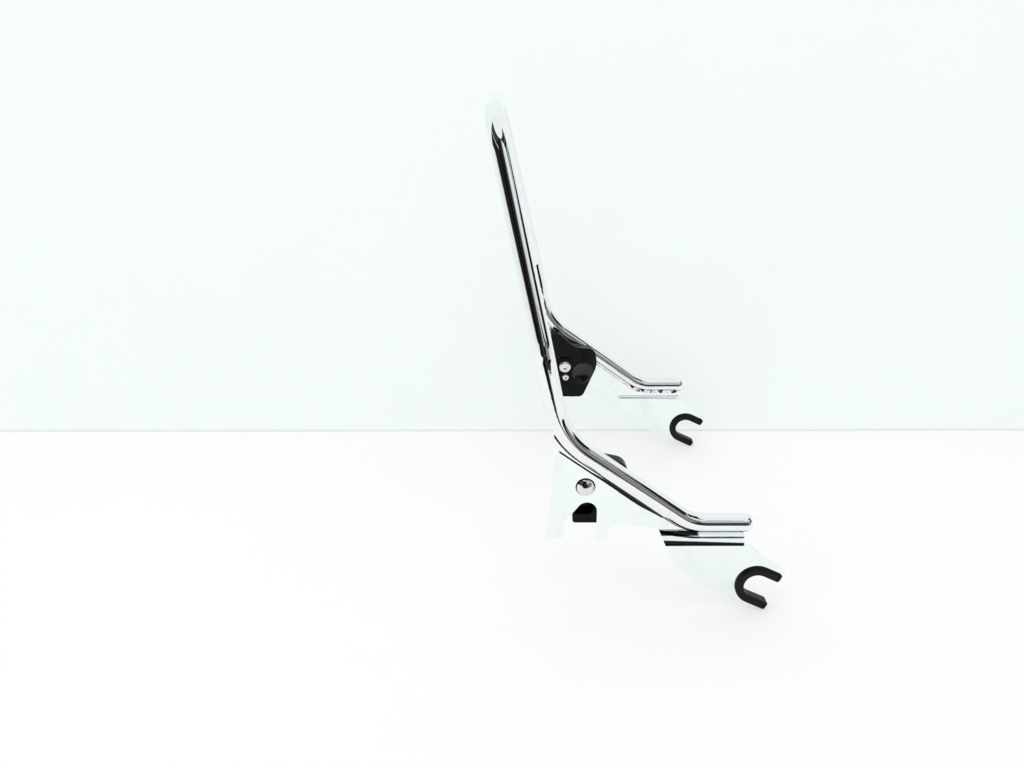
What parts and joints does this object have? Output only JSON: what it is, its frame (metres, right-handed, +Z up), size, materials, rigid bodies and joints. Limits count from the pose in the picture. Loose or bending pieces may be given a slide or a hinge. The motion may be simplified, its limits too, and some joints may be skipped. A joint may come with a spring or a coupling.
{
  "type": "sissy bar",
  "caption": "One-piece detachable motorbike sissy bar: bent round upright and rails on joggled side plates with rubber-lined front docks and rotary rear latches.",
  "frame": {"origin": "midpoint of the common axis of the two front docks", "axes": "+X to the front of the bike, +Y to its left along the dock axis, +Z up"},
  "size_m": [0.2413, 0.3126, 0.3905],
  "materials": {
    "chrome_bar": "mirror chrome plate",
    "chrome_plate": "chrome plate",
    "chrome_screws": "mirror chrome plate",
    "rubber": "satin moulded rubber",
    "gloss_black": "glossy black",
    "washer_black": "matt black"
  },
  "bodies": {
    "frame": {"upright_bar": "chrome_bar", "side_plate_right": "chrome_plate", "side_plate_left": "chrome_plate", "front_liner_right": "rubber", "front_liner_left": "rubber", "rail_weld_outer_right": "chrome_bar", "rail_weld_outer_left": "chrome_bar", "rail_weld_inner_right": "chrome_bar", "rail_weld_inner_left": "chrome_bar", "latch_washer_right": "washer_black", "latch_washer_left": "washer_black", "pivot_bolt_right": "chrome_screws", "pivot_bolt_left": "chrome_screws", "pivot_screw_right": "chrome_screws", "pivot_screw_left": "chrome_screws"},
    "latch_right": {"latch_lever_right": "gloss_black", "keeper_screw_right": "chrome_screws"},
    "latch_left": {"latch_lever_left": "gloss_black", "keeper_screw_left": "chrome_screws"}
  },
  "joints": [
    {"name": "latch_right_pivot", "type": "hinge", "parent": "frame", "child": "latch_right", "pos_m": [-0.1399, -0.1307, 0.0845], "axis": [0, -1, 0], "range_deg": [0, 50]},
    {"name": "latch_left_pivot", "type": "hinge", "parent": "frame", "child": "latch_left", "pos_m": [-0.1399, 0.1307, 0.0845], "axis": [0, -1, 0], "range_deg": [0, 50]}
  ]
}
